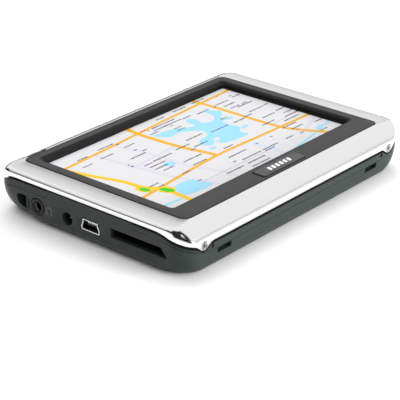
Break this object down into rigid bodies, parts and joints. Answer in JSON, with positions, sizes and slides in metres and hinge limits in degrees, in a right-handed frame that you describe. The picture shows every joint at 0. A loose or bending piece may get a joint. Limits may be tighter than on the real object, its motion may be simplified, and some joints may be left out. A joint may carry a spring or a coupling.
{
  "type": "portable gps navigator",
  "caption": "Portable car navigator: a wide map touchscreen in a silver front frame, a black housing and sockets along one end.",
  "frame": {"origin": "centre of the flat back of the housing, which lies on the table with the screen up", "axes": "+X along the long side with the sockets on the -X end, +Y up the screen towards the power button's side, +Z out of the screen"},
  "size_m": [0.122, 0.086, 0.0182],
  "materials": {
    "silver_shell": "brushed and polished silver",
    "surround_black": "fine satin, dark grey",
    "housing_black": "satin greenish black",
    "key_black": "satin black",
    "badge": "dark grey with pale plain marks",
    "label_film": "blank printed film",
    "touch_film": "satin touch surface over a lit map",
    "lcd_cell": "polished edges",
    "light_guide": "stamped tray",
    "flex_film": "amber polyimide film",
    "board_mask": "green solder mask",
    "chip_epoxy": "fine matt black",
    "tinplate": "bright rolled tinplate",
    "ceramic": "fired ceramic with a silvered face",
    "contact_gold": "gold flash",
    "socket_black": "moulded black nylon",
    "nylon_white": "natural nylon",
    "battery_foil": "laminated pouch foil",
    "foam": "open foam",
    "speaker_steel": "zinc-plated pressing",
    "cone_paper": "coated paper",
    "lead_red": "insulated wire",
    "screw_steel": "blackened or bright steel"
  },
  "bodies": {
    "device": {"front_frame": "silver_shell", "screen_surround": "surround_black", "badge_plate": "badge", "mid_frame": "housing_black", "rear_cover": "housing_black", "rear_label": "label_film", "touch_panel": "touch_film", "lcd_panel": "lcd_cell", "backlight_unit": "light_guide", "lcd_flex": "flex_film", "touch_flex": "flex_film", "main_board": "board_mask", "processor": "chip_epoxy", "memory_chip_a": "chip_epoxy", "memory_chip_b": "chip_epoxy", "radio_shield": "tinplate", "gps_antenna": "ceramic", "antenna_tape": "foam", "power_switch": "socket_black", "reset_switch": "socket_black", "headphone_jack": "socket_black", "headphone_contact": "contact_gold", "power_jack": "socket_black", "power_jack_pin": "contact_gold", "usb_shell": "tinplate", "usb_tongue": "socket_black", "card_socket": "socket_black", "battery": "battery_foil", "battery_pad": "foam", "battery_plug": "nylon_white", "battery_lead": "lead_red", "speaker_basket": "speaker_steel", "speaker_cone": "cone_paper", "speaker_gasket": "foam", "speaker_lead": "lead_red", "ear_screw_1": "screw_steel", "ear_screw_2": "screw_steel", "ear_screw_3": "screw_steel", "ear_screw_4": "screw_steel", "rear_screw_1": "screw_steel", "rear_screw_2": "screw_steel", "rear_screw_3": "screw_steel", "rear_screw_4": "screw_steel", "board_screw_1": "screw_steel", "board_screw_2": "screw_steel", "board_screw_3": "screw_steel", "board_screw_4": "screw_steel"},
    "power_key": {"power_button": "key_black"},
    "power_switch_stem": {"power_switch_plunger": "nylon_white"},
    "reset_stem": {"reset_plunger": "nylon_white"},
    "card_carriage": {"card_slider": "nylon_white"}
  },
  "joints": [
    {"name": "power_button_press", "type": "slide", "parent": "device", "child": "power_key", "axis": [0, -1, 0], "range_m": [0, 0.0005], "stiffness_N_per_m": 600, "springref_m": -0.0005},
    {"name": "power_switch_press", "type": "slide", "parent": "device", "child": "power_switch_stem", "axis": [0, -1, 0], "range_m": [0, 0.0005]},
    {"name": "reset_switch_press", "type": "slide", "parent": "device", "child": "reset_stem", "axis": [0, 0, 1], "range_m": [0, 0.0002], "stiffness_N_per_m": 400, "springref_m": -0.0005},
    {"name": "card_slider_press", "type": "slide", "parent": "device", "child": "card_carriage", "axis": [1, 0, 0], "range_m": [0, 0.0015], "stiffness_N_per_m": 300, "springref_m": -0.002}
  ],
  "couplings": [
    {"joint": "power_switch_press", "follows": "power_button_press", "ratio": 1}
  ]
}
